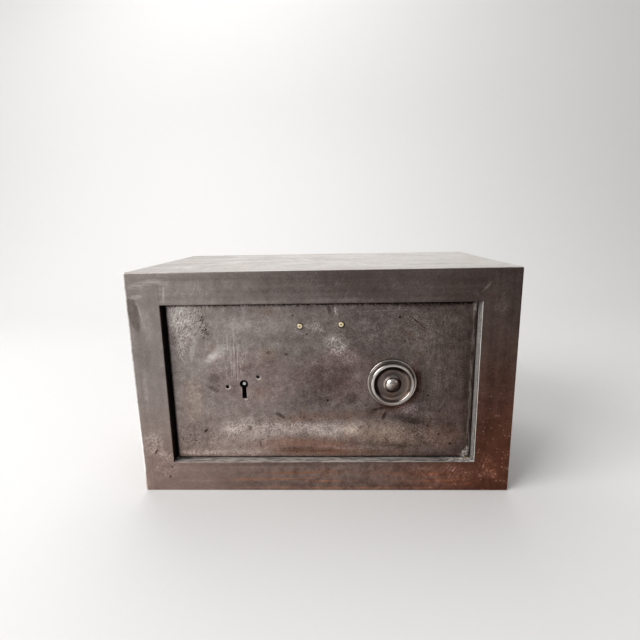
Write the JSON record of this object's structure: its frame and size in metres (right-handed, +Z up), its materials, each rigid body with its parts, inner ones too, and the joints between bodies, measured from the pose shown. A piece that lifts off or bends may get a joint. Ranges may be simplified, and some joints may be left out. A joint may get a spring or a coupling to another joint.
{
  "type": "small safe",
  "caption": "Small free-standing steel safe with a recessed side-hinged door, a dished turning knob with round bolts, and a keyed lever lock.",
  "frame": {"origin": "middle of the base's footprint, on the base plane", "axes": "+Z up, -Y out of the front that holds the door, +X to the right seen from the front"},
  "size_m": [0.4, 0.2356, 0.244],
  "materials": {
    "case_steel": "stripped and brushed bare steel",
    "door_steel": "stripped bare steel with a mottled patina",
    "knob_steel": "turned and worn bright",
    "bright_steel": "bright drawn steel",
    "dark_steel": "dark mill scale",
    "spring_steel": "blued spring steel",
    "brass": "dull aged brass",
    "liner_paint": "grey paint",
    "fill": "rough cast filling"
  },
  "bodies": {
    "case": {"frame_left_bar": "case_steel", "frame_right_bar": "case_steel", "frame_top_bar": "case_steel", "frame_bottom_bar": "case_steel", "top_plate": "case_steel", "bottom_plate": "case_steel", "left_plate": "case_steel", "right_plate": "case_steel", "back_plate": "case_steel", "rebate_strip_left": "liner_paint", "rebate_strip_right": "liner_paint", "rebate_strip_top": "liner_paint", "rebate_strip_bottom": "liner_paint", "liner_top": "liner_paint", "liner_bottom": "liner_paint", "liner_left": "liner_paint", "liner_right": "liner_paint", "liner_back": "liner_paint", "strike_angle": "liner_paint", "fire_fill": "fill", "pivot_washer": "brass"},
    "door": {"door_plate": "door_steel", "nameplate_rivets": "brass", "hinge_pin_top": "bright_steel", "hinge_pin_bottom": "bright_steel", "knob_rose": "knob_steel", "spindle_bush": "brass", "bolt_guide_angle": "dark_steel", "guide_screws": "bright_steel", "lock_case": "dark_steel", "lock_cap": "dark_steel", "lock_screws": "bright_steel", "cap_screws": "bright_steel", "drill_pin": "bright_steel", "lever_pivot": "bright_steel", "arm_guide_stud": "bright_steel"},
    "knob": {"knob": "knob_steel", "knob_boss": "knob_steel", "spindle": "bright_steel", "wave_washer": "spring_steel", "crank": "dark_steel", "crank_pin": "bright_steel"},
    "boltwork": {"bolt_bar": "dark_steel", "bolt_lower": "bright_steel", "bolt_upper": "bright_steel", "throw_arm": "dark_steel", "bolt_screws": "bright_steel", "arm_screws": "bright_steel"},
    "lock_bolt": {"lock_bolt": "bright_steel", "bolt_stump": "bright_steel"},
    "levers": {"lever_1": "brass", "lever_2": "brass", "lever_3": "brass", "lever_4": "brass", "lever_springs": "spring_steel"}
  },
  "joints": [
    {"name": "door_swing", "type": "hinge", "parent": "case", "child": "door", "pos_m": [0.1565, -0.103, 0.122], "axis": [0, 0, 1], "range_deg": [0, 95]},
    {"name": "knob_turn", "type": "hinge", "parent": "door", "child": "knob", "pos_m": [0.0736, -0.107, 0.122], "axis": [0, -1, 0], "range_deg": [0, 90]},
    {"name": "bolt_throw", "type": "slide", "parent": "door", "child": "boltwork", "axis": [-1, 0, 0], "range_m": [0, 0.01414]},
    {"name": "lock_bolt_throw", "type": "slide", "parent": "door", "child": "lock_bolt", "axis": [-1, 0, 0], "range_m": [0, 0.012]},
    {"name": "lever_lift", "type": "hinge", "parent": "door", "child": "levers", "pos_m": [-0.06, -0.094, 0.1392], "axis": [0, 1, 0], "range_deg": [-3.5, 2], "stiffness_Nm_per_rad": 0.15, "springref_deg": -14.32, "deforming": ["lever_springs"]}
  ],
  "couplings": [
    {"joint": "knob_turn", "follows": "bolt_throw", "rad_per_m": 111.07}
  ]
}
